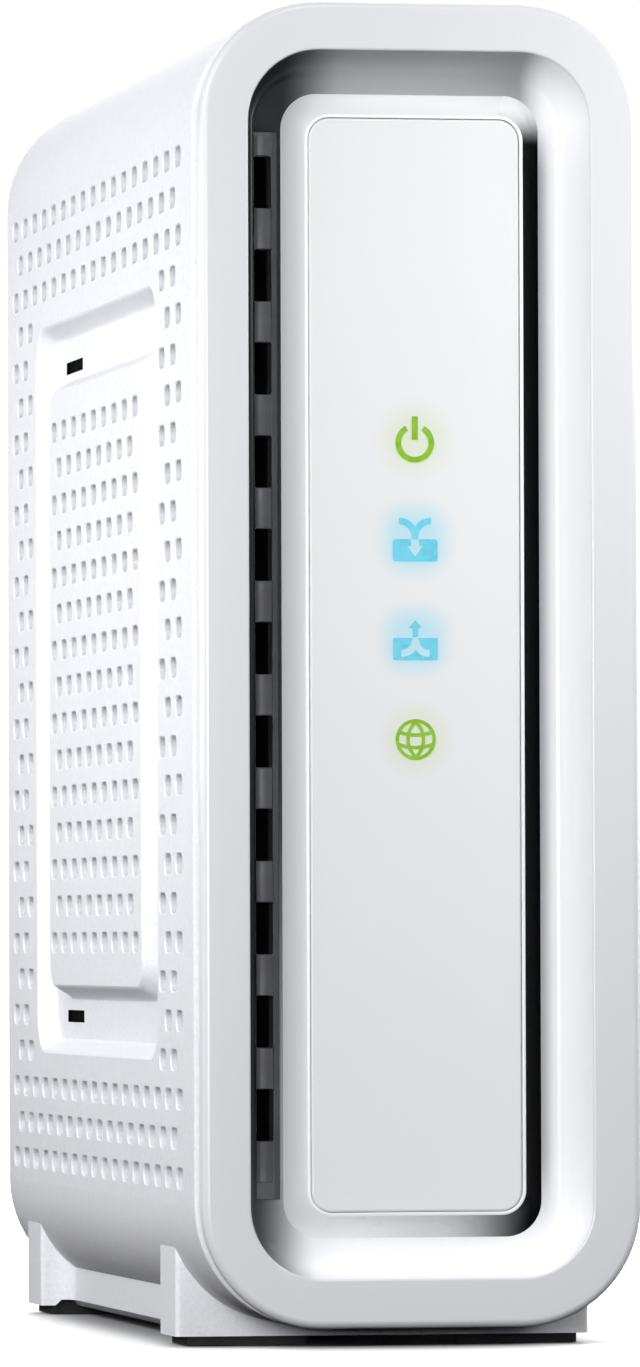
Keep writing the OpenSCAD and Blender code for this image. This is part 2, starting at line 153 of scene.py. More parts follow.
def add_object(name, data):
    made = bpy.data.objects.new(name, data)
    bpy.context.scene.collection.objects.link(made)
    return made


def make(name, build, materials, nodes=(), sharp=32, weighted=True, bevel=0):
    """One finished piece from a Build. It takes the finishes given and may stand for CAD nodes."""
    mesh = mesh_of(name, build)
    for material in materials:
        mesh.materials.append(material)
    mesh.shade_smooth()
    mesh.set_sharp_from_angle(angle=radians(sharp))
    piece = add_object(name, mesh)
    if bevel:
        soften(piece, bevel)
    if weighted:
        piece.modifiers.new("normals", "WEIGHTED_NORMAL").keep_sharp = True
    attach(piece, HOUSING)
    if nodes:
        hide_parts(*nodes)
    return piece


def flatten_sides(piece):
    """Faces square to X keep their own flat shading beside rounded ones."""
    for face in piece.data.polygons:
        if abs(face.normal.x) > 0.99995:
            face.use_smooth = False


def soften(piece, width):
    """Rounded edges on a piece."""
    bevel = piece.modifiers.new("edges", "BEVEL")
    bevel.width = width * MM
    bevel.segments = 2
    bevel.limit_method = "ANGLE"
    bevel.angle_limit = radians(40)
    bevel.harden_normals = True


def subtract(piece, shape):
    """Cuts a Build's closed shapes out of a piece for good."""
    cutter = add_object("cutter", mesh_of("cutter", shape))
    cut = piece.modifiers.new("cut", "BOOLEAN")
    cut.object = cutter
    cut.solver = "EXACT"
    cut.use_self = True
    graph = bpy.context.evaluated_depsgraph_get()
    cut_mesh = bpy.data.meshes.new_from_object(piece.evaluated_get(graph))
    piece.modifiers.clear()
    piece.data = cut_mesh
    bpy.data.objects.remove(cutter)


# ---- flat outlines

def arc(cx, cz, r, start, end, steps=ARC):
    angles = np.radians(np.linspace(start, end, steps + 1))
    return [(cx + r * cos(a), cz + r * sin(a)) for a in angles]


def square_loop(x0, x1, z0, z1):
    return [(x0, z0), (x1, z0), (x1, z1), (x0, z1)]


def outline(x0, x1, z0, z1, r, breaks=()):
    """Rounded rectangle, anticlockwise from its lower right, with points at breaks on both sides."""
    heights = [min(max(z, z0 + r), z1 - r) for z in breaks]
    right = [(x1, z) for z in heights]
    left = [(x0, z) for z in reversed(heights)]
    return (arc(x1 - r, z0 + r, r, -90, 0) + right + arc(x1 - r, z1 - r, r, 0, 90)
            + arc(x0 + r, z1 - r, r, 90, 180) + left + arc(x0 + r, z0 + r, r, 180, 270))


def grown(sides, by):
    """A rounded rectangle's sides and radius, offset outwards."""
    x0, x1, z0, z1, r = sides
    return x0 - by, x1 + by, z0 - by, z1 + by, r + by


def rounded_edge(r, face, angles):
    """Inset and depth along a rounding of radius r, from a side to a face at the depth given."""
    return [(r - r * cos(a), face + r - r * sin(a)) for a in np.radians(angles)]


def round_distance(points, x0, x1, z0, z1, r):
    """Signed distance of points to a rounded rectangle, negative inside."""
    points = np.asarray(points, float)
    centre = np.array([(x0 + x1) / 2, (z0 + z1) / 2])
    half = np.array([(x1 - x0) / 2 - r, (z1 - z0) / 2 - r])
    q = np.abs(points - centre) - half
    outside = np.linalg.norm(np.maximum(q, 0), axis=1)
    return outside + np.minimum(q.max(axis=1), 0) - r


def triangulate(loops, lines=()):
    """Triangles over the hull of closed loops, with the loops and the lines as edges."""
    points, edges = [], []
    for loop in loops:
        start = len(points)
        points += [Vector(p) for p in loop]
        edges += [(start + i, start + (i + 1) % len(loop)) for i in range(len(loop))]
    for a, b in lines:
        edges.append((len(points), len(points) + 1))
        points += [Vector(a), Vector(b)]
    found = delaunay_2d_cdt(points, edges, [], 0, 1e-6)
    return np.array([tuple(p) for p in found[0]]), np.array([tuple(t) for t in found[2]])


def centres(points, triangles):
    return points[triangles].mean(axis=1)


def cut_sheet(loops, gaps):
    """Triangles between closed loops, without those inside the gaps, each given by its four sides."""
    points, triangles = triangulate(loops)
    x, z = centres(points, triangles).T
    gone = np.zeros(len(triangles), bool)
    for x0, x1, z0, z1 in gaps:
        gone |= (x > x0) & (x < x1) & (z > z0) & (z < z1)
    return points, triangles[~gone]


def within(loop, points):
    """Which points lie inside a closed loop: those with an odd number of its edges on their right."""
    inside = np.zeros(len(points), bool)
    for p, q in zip(loop, loop[1:] + loop[:1]):
        crosses = (p[1] > points[:, 1]) != (q[1] > points[:, 1])
        with np.errstate(divide="ignore", invalid="ignore"):
            x_at = p[0] + (points[:, 1] - p[1]) * (q[0] - p[0]) / (q[1] - p[1])
        inside ^= crosses & (points[:, 0] < x_at)
    return inside


def rim_edges(triangles):
    """Edges that only one triangle has."""
    uses = Counter(tuple(sorted((t[i], t[i - 2]))) for t in triangles for i in range(3))
    return [edge for edge, count in uses.items() if count == 1]


# ---- materials

def srgb(*levels):
    """A colour from screen levels of 0 to 255."""
    out = [(c / 255 / 12.92) if c <= 10 else ((c / 255 + 0.055) / 1.055) ** 2.4 for c in levels]
    return (*out, 1)


def scaled(colour, by):
    return (*[min(c * by, 1) for c in colour[:3]], 1)


class Tree:
    """A node tree, with short calls for the nodes that the finishes and the world share."""

    def __init__(self, owner):
        owner.use_nodes = True
        self.nodes = owner.node_tree.nodes
        self.links = owner.node_tree.links

    def put(self, socket, value):
        if isinstance(value, bpy.types.NodeSocket):
            self.links.new(value, socket)
        else:
            socket.default_value = value

    def node(self, kind, inputs, **settings):
        """A new node with its inputs and settings."""
        node = self.nodes.new(f"ShaderNode{kind}")
        for key, value in settings.items():
            setattr(node, key, value)
        for key, value in inputs.items():
            self.put(node.inputs[key], value)
        return node

    def ramp(self, value, low, high, to_low=0.0, to_high=1.0, shape="SMOOTHSTEP"):
        """Step of a value between two limits."""
        inputs = {"Value": value, "From Min": low, "From Max": high, "To Min": to_low, "To Max": to_high}
        return self.node("MapRange", inputs, interpolation_type=shape).outputs["Result"]

    def math(self, operation, a, b=0.0):
        return self.node("Math", {0: a, 1: b}, operation=operation).outputs[0]

    def product(self, first, *others):
        for other in others:
            first = self.math("MULTIPLY", first, other)
        return first

    def mix(self, factor, a, b):
        return self.node("Mix", {0: factor, 6: a, 7: b}, data_type="RGBA").outputs[2]


class Finish(Tree):
    """A material's tree."""

    def __init__(self, name):
        self.material = bpy.data.materials.new(name)
        super().__init__(self.material)
        self.shader = self.nodes["Principled BSDF"]
        self.place = self.node("TexCoord", {}).outputs["Object"]
        self.x, self.y, self.z = self.node("SeparateXYZ", {0: self.place}).outputs

    def set(self, **values):
        for key, value in values.items():
            self.put(self.shader.inputs[key.replace("_", " ")], value)

    def noise(self, size, detail, stretch=(1, 1, 1)):
        """Noise whose features are about size millimetres across."""
        mapping = self.node("Mapping", {"Vector": self.place, "Scale": stretch})
        inputs = {"Vector": mapping.outputs[0], "Scale": 1 / (size * MM), "Detail": detail}
        return self.node("TexNoise", inputs).outputs["Fac"]

    def step(self, place, low, high, to_low=0.0, to_high=1.0):
        """Smooth step of a coordinate or distance between two places in millimetres."""
        return self.ramp(place, low * MM, high * MM, to_low, to_high)

    def patches(self, size, low, high, detail=3.0):
        """A value that wanders between two limits, in patches about size millimetres across."""
        return self.ramp(self.noise(size, detail), 0.3, 0.7, low, high)

    def distance(self, *spans):
        """Distance from a rectangle: along each of two coordinates, its middle and half size."""
        gaps = []
        for place, middle, half in spans:
            off = self.math("ABSOLUTE", self.math("SUBTRACT", place, middle * MM))
            gaps.append(self.math("MAXIMUM", self.math("SUBTRACT", off, half * MM), 0.0))
        return self.math("SQRT", self.math("ADD", *[self.product(gap, gap) for gap in gaps]))

    def bump(self, height, relief, under=None):
        """Relief in millimetres, which may lie over another."""
        inputs = {"Height": height, "Distance": relief * MM}
        if under:
            inputs["Normal"] = under
        normal = self.node("Bump", inputs).outputs[0]
        self.set(Normal=normal)
        return normal


def moulded(name, colour, rough, grain=0.35, relief=0.012, mottle=0.03, **more):
    """Moulded plastic: faint colour mottling, uneven gloss and a fine surface grain."""
    f = Finish(name)
    tone = f.mix(f.noise(14, 3), scaled(colour, 1 - mottle), scaled(colour, 1 + mottle))
    f.set(Base_Color=tone, Roughness=f.patches(3, rough - 0.04, rough + 0.06), **more)
    f.bump(f.noise(grain, 2), relief)
    return f.material


def shell_finish():
    """Spark-eroded matte white: two sizes of pits."""
    f = Finish("shell_matte")
    pits = f.noise(0.42, 3)
    tone = f.mix(f.ramp(pits, 0.3, 0.7), srgb(227, 228, 233), srgb(235, 235, 239))
    f.set(Base_Color=tone, Roughness=f.patches(2.5, 0.5, 0.62), Specular_IOR_Level=0.25)
    coarse = f.bump(f.noise(0.75, 2), 0.01)
    f.bump(pits, 0.014, coarse)
    return f.material


def bezel_finish(name, colour):
    """Glossy moulded white with barely visible flow marks."""
    f = Finish(name)
    f.set(Base_Color=f.mix(f.noise(0.3, 1), scaled(colour, 0.99), colour), Coat_Weight=0.25,
          Coat_Roughness=0.16, Roughness=f.patches(0.6, 0.275, 0.285, 1))
    f.bump(f.noise(1.6, 2), 0.0005)
    return f.material


def groove_finish():
    """The bezel's groove, glossy, with painted light and shade: its white lighter than the ring's, painted
    shade towards the air slots on its left and along the top left, and a painted shadow beside the right
    flank's strip.
    """
    f = Finish("groove_painted_light_shade")
    # Painted light share: none at the left beside the air slots, partial along the top middle, full at the
    # right and along the bottom.
    upper = f.math("MAXIMUM", f.step(f.x, -13, -6.5, 0, 0.38), f.step(f.x, 9, 14))
    lower = f.step(f.x, -15.8, -9.5)
    light = f.mix(f.step(f.z, 20, 60), lower, upper)
    cloud = f.noise(5, 3)
    # Painted shade: greyer low down, near black higher up, in blotches.
    painted_dark = f.mix(f.step(f.z, 4, 26), srgb(104, 105, 110), srgb(34, 35, 38))
    painted_dark = f.mix(f.ramp(cloud, 0.35, 0.65, 0, 0.25), painted_dark, srgb(50, 51, 55))
    # Painted shadow on the floor beside the black strip on the island's right flank.
    painted_flank_shadow = f.product(f.step(f.x, 11.5, 12.9), f.step(f.x, 13.1, 14.5, 0.55, 0),
                            f.step(f.z, 12, 20), f.step(f.z, 116, 122, 1, 0))
    white = f.mix(painted_flank_shadow, srgb(249, 250, 252), srgb(120, 121, 126))
    f.set(Base_Color=f.mix(light, painted_dark, white), Coat_Weight=f.product(light, 0.25),
          Coat_Roughness=0.16, Specular_IOR_Level=0.3, Roughness=f.ramp(cloud, 0.3, 0.7, 0.3, 0.34))
    f.bump(f.noise(1.6, 2), 0.002)
    return f.material


def grille_finish():
    """Grey insert whose colour is painted shade for the groove's left floor: painted lighter over the slots
    and the ribs between them, with painted blotches.
    """
    f = Finish("grille_painted_shade")
    # Painted light over the slot column, painted shade beside it.
    painted_rib_light = f.step(f.x, -13.95, -13.75, 1, 0)
    patch = f.noise(4, 3)
    tone = f.mix(painted_rib_light, srgb(72, 73, 76), srgb(98, 99, 103))
    f.set(Base_Color=f.mix(f.ramp(patch, 0.3, 0.7, 0, 0.35), tone, srgb(62, 63, 67)),
          Roughness=f.ramp(patch, 0.3, 0.7, 0.42, 0.55))
    f.bump(f.noise(0.4, 2), 0.01)
    return f.material


def strip_shadow_finish(top, bottom):
    """Black standing in for the shadow on the island's right flank, a painted shadow, fading to a painted
    white towards both ends of the strip.
    """
    f = Finish("strip_painted_shadow")
    # Painted light towards the top end, and along the run under the foot towards the left.
    upper = f.step(f.z, top - 5, top - 1.2)
    lower = f.product(f.step(f.x, -9, 4, 1, 0.7), f.step(f.x, 2, 12, 1, 0),
                      f.step(f.z, bottom + 2.2, bottom + 4.2, 1, 0))
    light = f.math("MAXIMUM", upper, lower)
    # Painted glints: faint lighter streaks along the black.
    painted_glint = f.noise(3, 2, (1, 1, 0.15))
    black = f.mix(painted_glint, srgb(1, 2, 2), srgb(5, 6, 7))
    f.set(Base_Color=f.mix(light, black, srgb(248, 249, 251)),
          Roughness=f.ramp(painted_glint, 0.3, 0.7, 0.24, 0.32), Specular_IOR_Level=f.ramp(light, 0, 1, 0.01, 0.3))
    f.bump(f.noise(1.2, 2), 0.002)
    return f.material


# Each lit icon's CAD node, its hue, and how much of its glow is flat before it fades
ICONS = [("power_icon", "green", 0.0), ("downstream_icon", "blue", 0.35),
         ("upstream_icon", "blue", 0.35), ("online_icon", "green", 0.0)]
# A hue's two lens colours, and its glow on the plate with the glow's strength
HUES = {"green": (srgb(122, 170, 34), srgb(130, 178, 42), srgb(200, 214, 168), 0.5),
        "blue": (srgb(98, 188, 210), srgb(104, 194, 216), srgb(158, 214, 230), 0.7)}
GLOW_REACH = 2.4


def plate_finish():
    """Satin label plate that glows softly around each lit icon."""
    f = Finish("plate_satin")
    tone = f.mix(f.noise(26, 2), srgb(225, 226, 228), srgb(228, 229, 230))
    glow = 0.0
    for node, hue, core in ICONS:
        low, high = box_mm(node)
        (x, _, z), (half_w, _, half_h) = (low + high) / 2, (high - low) / 2
        away = f.distance((f.x, x, core * half_w), (f.z, z, core * half_h))
        fade = (1 - core) * half_h
        near = f.step(away, 0.5 * fade, fade + GLOW_REACH, 1, 0)
        colour, strength = HUES[hue][2:]
        tone = f.mix(f.product(near, strength), tone, colour)
        glow = f.math("MAXIMUM", near, glow)
    f.set(Base_Color=tone, Roughness=f.patches(5, 0.36, 0.44),
          Emission_Color=tone, Emission_Strength=f.product(glow, 0.02))
    f.bump(f.noise(0.5, 2), 0.003)
    return f.material


def icon_finish(hue):
    """Tinted lens, lit from behind, its tint uneven in faint random patches."""
    f = Finish(f"icon_lens_{hue}")
    cloud = f.noise(1.1, 2)
    tone = f.mix(f.ramp(cloud, 0.35, 0.65), *HUES[hue][:2])
    f.set(Base_Color=tone, Roughness=f.ramp(cloud, 0.3, 0.7, 0.25, 0.35), Emission_Color=tone,
          Emission_Strength=0.17)
    f.bump(f.noise(0.5, 1), 0.003)
    return f.material


def board_finish():
    """Solder mask with copper tracks and vias showing through."""
    f = Finish("board_mask")
    turned = f.node("Mapping", {"Vector": f.place, "Rotation": (0, radians(90), 0)}).outputs[0]
    tracks = f.node("TexBrick", {"Vector": turned, "Scale": 140, "Mortar Size": 0.03}).outputs["Fac"]
    tone = f.mix(f.noise(7, 3), srgb(16, 74, 44), srgb(28, 100, 60))
    f.set(Base_Color=f.mix(tracks, tone, srgb(58, 128, 74)), Roughness=0.38, Coat_Weight=0.3,
          Coat_Roughness=0.15)
    f.bump(tracks, 0.02)
    return f.material


def metal_finish(name, colour, rough, grain_size=0.5, stretch=(1, 1, 1)):
    """Metal with duller patches and a grain that runs along an axis stretched below 1."""
    f = Finish(name)
    grain = f.noise(grain_size, 3, stretch)
    tone = f.mix(f.noise(6, 3), scaled(colour, 0.9), scaled(colour, 1.06))
    f.set(Base_Color=tone, Metallic=1.0, Roughness=f.ramp(grain, 0.3, 0.7, rough - 0.06, rough + 0.08))
    f.bump(grain, 0.006)
    return f.material


def label_finish():
    """Metallised label with plain ruled bands."""
    f = Finish("label_foil")
    wave = f.node("TexWave", {"Vector": f.place, "Scale": 130}, bands_direction="Z")
    band = f.ramp(wave.outputs["Fac"], 0.86, 0.92)
    f.set(Base_Color=f.mix(band, srgb(190, 192, 196), srgb(120, 123, 128)), Metallic=0.35,
          Roughness=f.patches(1, 0.34, 0.46))
    f.bump(f.noise(0.6, 2), 0.004)
    return f.material


def clear_finish(name, colour, strength=0.0):
    """Clear or tinted acrylic, which may glow."""
    f = Finish(name)
    cloud = f.noise(2, 2)
    tone = f.mix(cloud, scaled(colour, 0.9), colour)
    f.set(Base_Color=tone, Roughness=f.ramp(cloud, 0.3, 0.7, 0.12, 0.22), Transmission_Weight=0.5,
          Emission_Color=tone, Emission_Strength=strength)
    f.bump(f.noise(0.8, 1), 0.003)
    return f.material


# ---- front bezel

# The ring, the spigot inside the shells (outer inset, inner inset and depth) and the groove
RING_W = 4.86
RING_EDGE = 0.8
LIP_R = 0.22
SPIGOT = (2.15, 3.55, 7.6)
GROOVE = 5.5
BEZEL_BACK = 7.0
COVE, LEFT_COVE = 2.6, 1.45

# The opening for the air slots
OPENING_X = (-HALF_W + RING_W + LEFT_COVE, -13.3)
OPENING_Z = (15.0, 120.4)

# The island's size at its foot in the groove and at its rim
ISLAND = (12.97, 56.5, 3.6)
PLATE_RIM = (10.9, 54.25, 2.4)
SHELF = 0.15
FLANK_BOW = 0.12

# The label plate's pocket and the windows behind the icons
PLATE_D = plate_low[1] - FRONT
POCKET_D = PLATE_D + 1.25
POCKET_GAP = 0.25
LABEL_RISE, LABEL_EDGE = 0.05, 0.28
WINDOW = 2.8
WINDOWS = [box_mm("light_guide")[0][2] + WINDOW - 0.1 + step for step in (0, 9.8, 19.6, 29.6)]


def row_of(size, inset, depth, left=None):
    """Points round a shape of a half width, half height and corner radius. Its left may reach elsewhere."""
    half_w, half_h, r = [s - inset for s in size]
    left = half_w if left is None else left
    return [(x, FRONT + depth, z) for x, z in outline(
        -left, half_w, MID_Z - half_h, MID_Z + half_h, r, OPENING_Z)]


def flank_row(share, margin, depth, proud=0.0):
    """The island's outline at a share of the way up its flank, which bows a little."""
    half_w, half_h, r = [low + (high + margin - low) * share for low, high in zip(ISLAND, PLATE_RIM)]
    bow = FLANK_BOW * sin(pi * share) - proud
    return row_of((half_w - bow, half_h - bow, r), 0, GROOVE + (depth - GROOVE) * share)


def ring_profile():
    """Inset and depth of the ring's rows, from the spigot's end round its side to the inner lip."""
    inset, _, back = SPIGOT
    flat_end = RING_W - LIP_R
    profile = [(inset + 0.2, back), (inset, back - 0.2), (inset, SHELL_FRONT), (0.6, SHELL_FRONT),
               (0.45, SHELL_FRONT - 0.15), (0.45, 1.0), (0.12, 0.98), (0.02, 0.92)]
    profile += rounded_edge(RING_EDGE, 0, np.linspace(0, 90, 6)) + [(2.6, 0), (flat_end, 0)]
    return profile + [(flat_end + LIP_R * sin(a), LIP_R - LIP_R * cos(a))
                      for a in np.radians((30, 60, 90))]


def cove_rows():
    """The rounded wall from the ring's lip to the groove's floor, tighter on the left."""
    rows = [row_of(CASE, RING_W, LIP_R)]
    for a in np.radians(np.linspace(0, 90, 15))[1:]:
        swing = 1 - cos(a)
        rows.append(row_of(CASE, RING_W + COVE * swing, LIP_R + (GROOVE - LIP_R) * sin(a),
                           HALF_W - RING_W - LEFT_COVE * swing))
    return rows


def bezel(finishes):
    """One moulding: the ring, the groove with its opening, and the island with the plate's pocket."""
    b = Build()
    profile, cove = ring_profile(), cove_rows()
    b.loft([row_of(CASE, *p) for p in profile])
    b.loft(cove, paint=1)
    foot = row_of(ISLAND, 0, GROOVE)
    shelf = row_of(ISLAND, -SHELF, GROOVE, -OPENING_X[1])
    beside_opening = 3 * (ARC + 1) + len(OPENING_Z)
    b.loft([cove[-1], shelf], skip=(beside_opening,), paint=1)
    b.loft([shelf, foot], paint=1)

    flank = [foot] + [flank_row(t, 0.12, PLATE_D + 0.12) for t in np.linspace(0, 1, 9)[1:]]
    flank += [row_of(PLATE_RIM, *p) for p in ((-0.04, PLATE_D + 0.03), (0.04, PLATE_D), (0.2, PLATE_D),
                                              (POCKET_GAP, PLATE_D + 0.05), (POCKET_GAP, POCKET_D))]
    # The island's flank takes the lighter white: painted light.
    b.loft(flank, paint=2)

    def floor(edge, depth, holes):
        loops = [[(x, z) for x, _, z in edge]] + [square_loop(*hole) for hole in holes]
        points, triangles = cut_sheet(loops, holes)
        b.sheet([(x, FRONT + depth, z) for x, z in points], triangles)

    windows = [(-WINDOW, WINDOW, z - WINDOW, z + WINDOW) for z in WINDOWS]
    opening = (*OPENING_X, *OPENING_Z)
    back_edge = row_of(CASE, SPIGOT[1], BEZEL_BACK)
    floor(flank[-1], POCKET_D, windows)
    floor(back_edge, BEZEL_BACK, windows + [opening])
    for hole, depth in [(window, POCKET_D) for window in windows] + [(opening, GROOVE)]:
        b.wall(square_loop(*hole), lambda x, z: (x, FRONT + depth, z),
               lambda x, z: (x, FRONT + BEZEL_BACK, z))
    b.loft([back_edge, row_of(CASE, SPIGOT[1], SPIGOT[2]), row_of(CASE, *profile[0])])
    make("bezel_moulding", b, finishes, ["front_bezel"])


# The grille's air slots, one above the other, and the place of the highest one
SLOTS, SLOT_PITCH = 11, 9.21
SLOT_W, SLOT_H, SLOT_R = 1.7, 5.14, 0.18
SLOT_X, TOP_SLOT_Z = -14.77, 115.4
GRILLE_GAP = 0.03
GRILLE_FRONT = FRONT + GROOVE + 0.02
GRILLE_Z = (OPENING_Z[0] + GRILLE_GAP, OPENING_Z[1] - GRILLE_GAP)


def grille(finish):
    """Insert in the groove's left floor: a slim frame with rounded slots."""
    heights = [TOP_SLOT_Z - i * SLOT_PITCH for i in range(SLOTS)]
    slots = [(SLOT_X - SLOT_W / 2, SLOT_X + SLOT_W / 2, z - SLOT_H / 2, z + SLOT_H / 2) for z in heights]
    loops = [square_loop(OPENING_X[0] + GRILLE_GAP, OPENING_X[1] - GRILLE_GAP, *GRILLE_Z)]
    loops += [outline(*slot, SLOT_R) for slot in slots]
    points, triangles = cut_sheet(loops, slots)
    back = box_mm("vent_grille")[1][1]
    b = Build()
    for y in (GRILLE_FRONT, back):
        b.sheet([(x, y, z) for x, z in points], triangles)
    for loop in loops:
        b.wall(loop, lambda x, z: (x, GRILLE_FRONT, z), lambda x, z: (x, back, z))
    make("grille_insert", b, [finish], ["vent_grille"], bevel=0.08)


def grille_ribs(finish):
    """Raised, rounded ribs above, between and below the slots."""
    b = Build()
    for i in range(SLOTS + 1):
        z = TOP_SLOT_Z - i * SLOT_PITCH
        bottom = max(z + SLOT_H / 2, GRILLE_Z[0] + 0.3)
        top = min(z + SLOT_PITCH - SLOT_H / 2, GRILLE_Z[1] - 0.3)
        rows = []
        for t in np.linspace(0, 1, 9):
            x = SLOT_X - SLOT_W / 2 + 0.05 + (SLOT_W - 0.1) * t
            crest = GRILLE_FRONT - 0.22 * sin(pi * t) ** 0.6
            foot = GRILLE_FRONT + 0.1
            rows.append([(x, foot, bottom + 0.02), (x, crest, bottom + 0.08),
                         (x, crest, top - 0.08), (x, foot, top - 0.02)])
        b.solid(rows)
    make("grille_ribs", b, [finish])


def slot_shade_sheet(finish):
    """Black sheet right behind the slots, a little larger than their opening: painted shade seen through
    the slots.
    """
    near, far = FRONT + BEZEL_BACK + 1.4, FRONT + BEZEL_BACK + 2
    b = Build()
    b.box((OPENING_X[0] - 1.4, near, OPENING_Z[0] - 0.6), (OPENING_X[1] + 1.2, far, OPENING_Z[1] + 0.6))
    make("slot_shade_sheet", b, [finish])


def shadow_strip():
    """Gloss black strip along the island's right flank, round both right corners and under its foot:
    painted shadow on the flank.
    """
    rows = []
    for t in np.linspace(0.0, 0.985, 9):
        row = flank_row(t, 0.05, PLATE_D + 0.03, 0.035)
        under = [(x, row[0][1], row[0][2]) for x in (-9, -5, -1, 3, 6)]
        rows.append(under + row[:2 * (ARC + 1) + len(OPENING_Z)])
    inner = [[(x - 0.25 * np.sign(x), y + 0.2, z - 0.25 * np.sign(z - MID_Z)) for x, y, z in row]
             for row in (rows[-1], rows[0])]
    b = Build()
    ids = b.loft(rows + inner, closed=False)
    b.strip(ids[-1], ids[0], closed=False)
    for end in (0, -1):
        b.face([row[end] for row in ids])
    heights = [z for _, _, z in rows[0]]
    make("flank_shadow_strip", b, [strip_shadow_finish(max(heights), min(heights))], ["trim_strip"])


def label(finish):
    """Flat plate with a small rounded front edge."""
    size = (plate_high[0], (plate_high[2] - plate_low[2]) / 2, PLATE_RIM[2] - 0.3)
    face = PLATE_D + LABEL_RISE
    profile = [(0, plate_high[1] - FRONT), (0, face + LABEL_EDGE)]
    profile += rounded_edge(LABEL_EDGE, face, (22, 45, 67, 90))
    b = Build()
    b.solid([row_of(size, *p) for p in profile])
    make("label_face", b, [finish], ["label_plate"], sharp=25)


# ---- side shells

# The rear panel's opening in the case, its seat and ledge, and the seam between the halves
PANEL = (15, 59, 5)
PANEL_SEAT, PANEL_LEDGE = 3.9, 1.5
SEAM = 0.16
SEAM_X = (0.02, 0.2, 3, 6.5)

# The flat side's rows of points, in depth and height
SIDE_D = np.linspace(5.2, DEPTH - REAR_FILLET, 25)
SIDE_Z = np.linspace(UNDER + CORNER_R, TOP - CORNER_R, 13)

# Vent holes: rows and columns, their pitches, the first one's depth and height, and a hole's size
ROWS, COLS = 27, 17
ROW_PITCH, COL_PITCH = 3.906, 6.668
FIRST_VENT = (13.28, 118.5)
VENT_L, VENT_W = 4.2, 2.0
VENT_STRAIGHT = (VENT_L - VENT_W) / 2
RIM = 0.12
CHORD = 0.965

# The pressed channel, the island inside it (depths, heights and corner radius) and the latch holes
CHANNEL = (26, 105.5, 28.5, 106.8, 5)
SIDE_ISLAND = (36.2, 96.3, 35.9, 99.2, 3)
CHANNEL_DEPTH = 2.0
SLOPE = 1.6
FILLET_SHARE = 0.22
LATCHES = [(85.6, 96.6, z - 0.65, z + 0.65) for z in (102.1, 32.5)]


def vent_centres():
    """Three full rows above and below, two columns at either end, and a block on the island."""
    for row in range(ROWS):
        count = COLS - row % 2
        for col in range(count):
            full_row = not 3 <= row < ROWS - 3
            near_end = not 2 <= col < count - 2
            on_island = 6 <= row < ROWS - 6 and 4 <= col < count - 4
            if full_row or near_end or on_island:
                yield (FIRST_VENT[0] + (col + (row % 2) / 2) * COL_PITCH, FIRST_VENT[1] - row * ROW_PITCH)


def vent_loop(centre, grow=0.0):
    """Obround outline of one vent hole."""
    r = VENT_W / 2 + grow
    d, z = centre
    return arc(d + VENT_STRAIGHT, z, r, -90, 90, 8) + arc(d - VENT_STRAIGHT, z, r, 90, 270, 8)


def profile_share(x):
    """Share of the channel's depth at a share of its slope, with a fillet at either end."""
    x = np.clip(x, 0, 1)
    f = FILLET_SHARE
    low = x * x / (2 * f)
    high = (1 - f) - (1 - x) ** 2 / (2 * f)
    return np.where(x < f, low, np.where(x > 1 - f, high, x - f / 2)) / (1 - f)


def side_depth(points):
    """How far the side's surface lies behind its flat, at points of depth and height."""
    into_channel = profile_share(-round_distance(points, *CHANNEL) / SLOPE)
    off_island = profile_share(round_distance(points, *SIDE_ISLAND) / SLOPE)
    return CHANNEL_DEPTH * np.minimum(into_channel, off_island)


def half_outline(size, grow=0.0, seam=0.0):
    """Left half of a rounded rectangle, from the bottom seam to the top seam, which may be eased."""
    half_w, half_h, r = [s + grow for s in size]
    low, high = MID_Z - half_h, MID_Z + half_h
    ease = (seam, 0, 0, 0)
    bottom = [(-x, low + s) for x, s in zip(SEAM_X, ease)]
    top = [(-x, high - s) for x, s in zip(SEAM_X, ease)]
    heights = np.linspace(low + r, high - r, len(SIDE_Z))[1:-1]
    return (bottom + arc(r - half_w, low + r, r, 270, 180) + [(-half_w, z) for z in heights]
            + arc(r - half_w, high - r, r, 180, 90) + top[::-1])


def on_side(side):
    """Places a point of the left half by x, depth and height. A side of -1 mirrors it to the right."""
    return lambda x, depth, z: (side * x, FRONT + depth, z)


def case_edges(b, at):
    """All of the case but its flat side: the front lip, top, bottom, and the rear panel's frame."""

    def row(size, grow, depth, seam=0.0):
        return [at(x, depth, z) for x, z in half_outline(size, grow, seam)]

    side_from = len(SEAM_X) + ARC
    skip = range(side_from, side_from + len(SIDE_Z) - 1)
    outer = b.loft([row(CASE, 0, d, SEAM) for d in SIDE_D], closed=False, skip=skip)
    inner = b.loft([row(CASE, -WALL, d) for d in SIDE_D], closed=False, skip=skip)
    lip = [row(CASE, -WALL, SHELL_FRONT), row(CASE, -0.3, SHELL_FRONT, 0.1),
           row(CASE, -0.1, SHELL_FRONT + 0.08, 0.14), row(CASE, 0, SHELL_FRONT + 0.3, SEAM)]
    rear = [row(CASE, REAR_FILLET * (cos(a) - 1), DEPTH - REAR_FILLET * (1 - sin(a)), SEAM)
            for a in np.radians(np.linspace(0, 90, 9))[1:]]
    seat = DEPTH - PANEL_SEAT
    rear += [row(PANEL, 0.35, DEPTH), row(PANEL, 0.15, DEPTH - 0.2), row(PANEL, 0.15, seat),
             row(PANEL, -1.5, seat), row(PANEL, -1.5, seat - PANEL_LEDGE),
             row(CASE, -WALL, seat - PANEL_LEDGE)]
    lip_ids = [inner[0]] + [b.add(points) for points in lip]
    rear_ids = [b.add(points) for points in rear]
    for group in (lip_ids + outer[:1], outer[-1:] + rear_ids + inner[-1:]):
        for p, q in zip(group, group[1:]):
            b.strip(p, q, closed=False)
    for end in (0, -1):
        b.face([ids[end] for ids in lip_ids + outer + rear_ids + inner[:0:-1]])


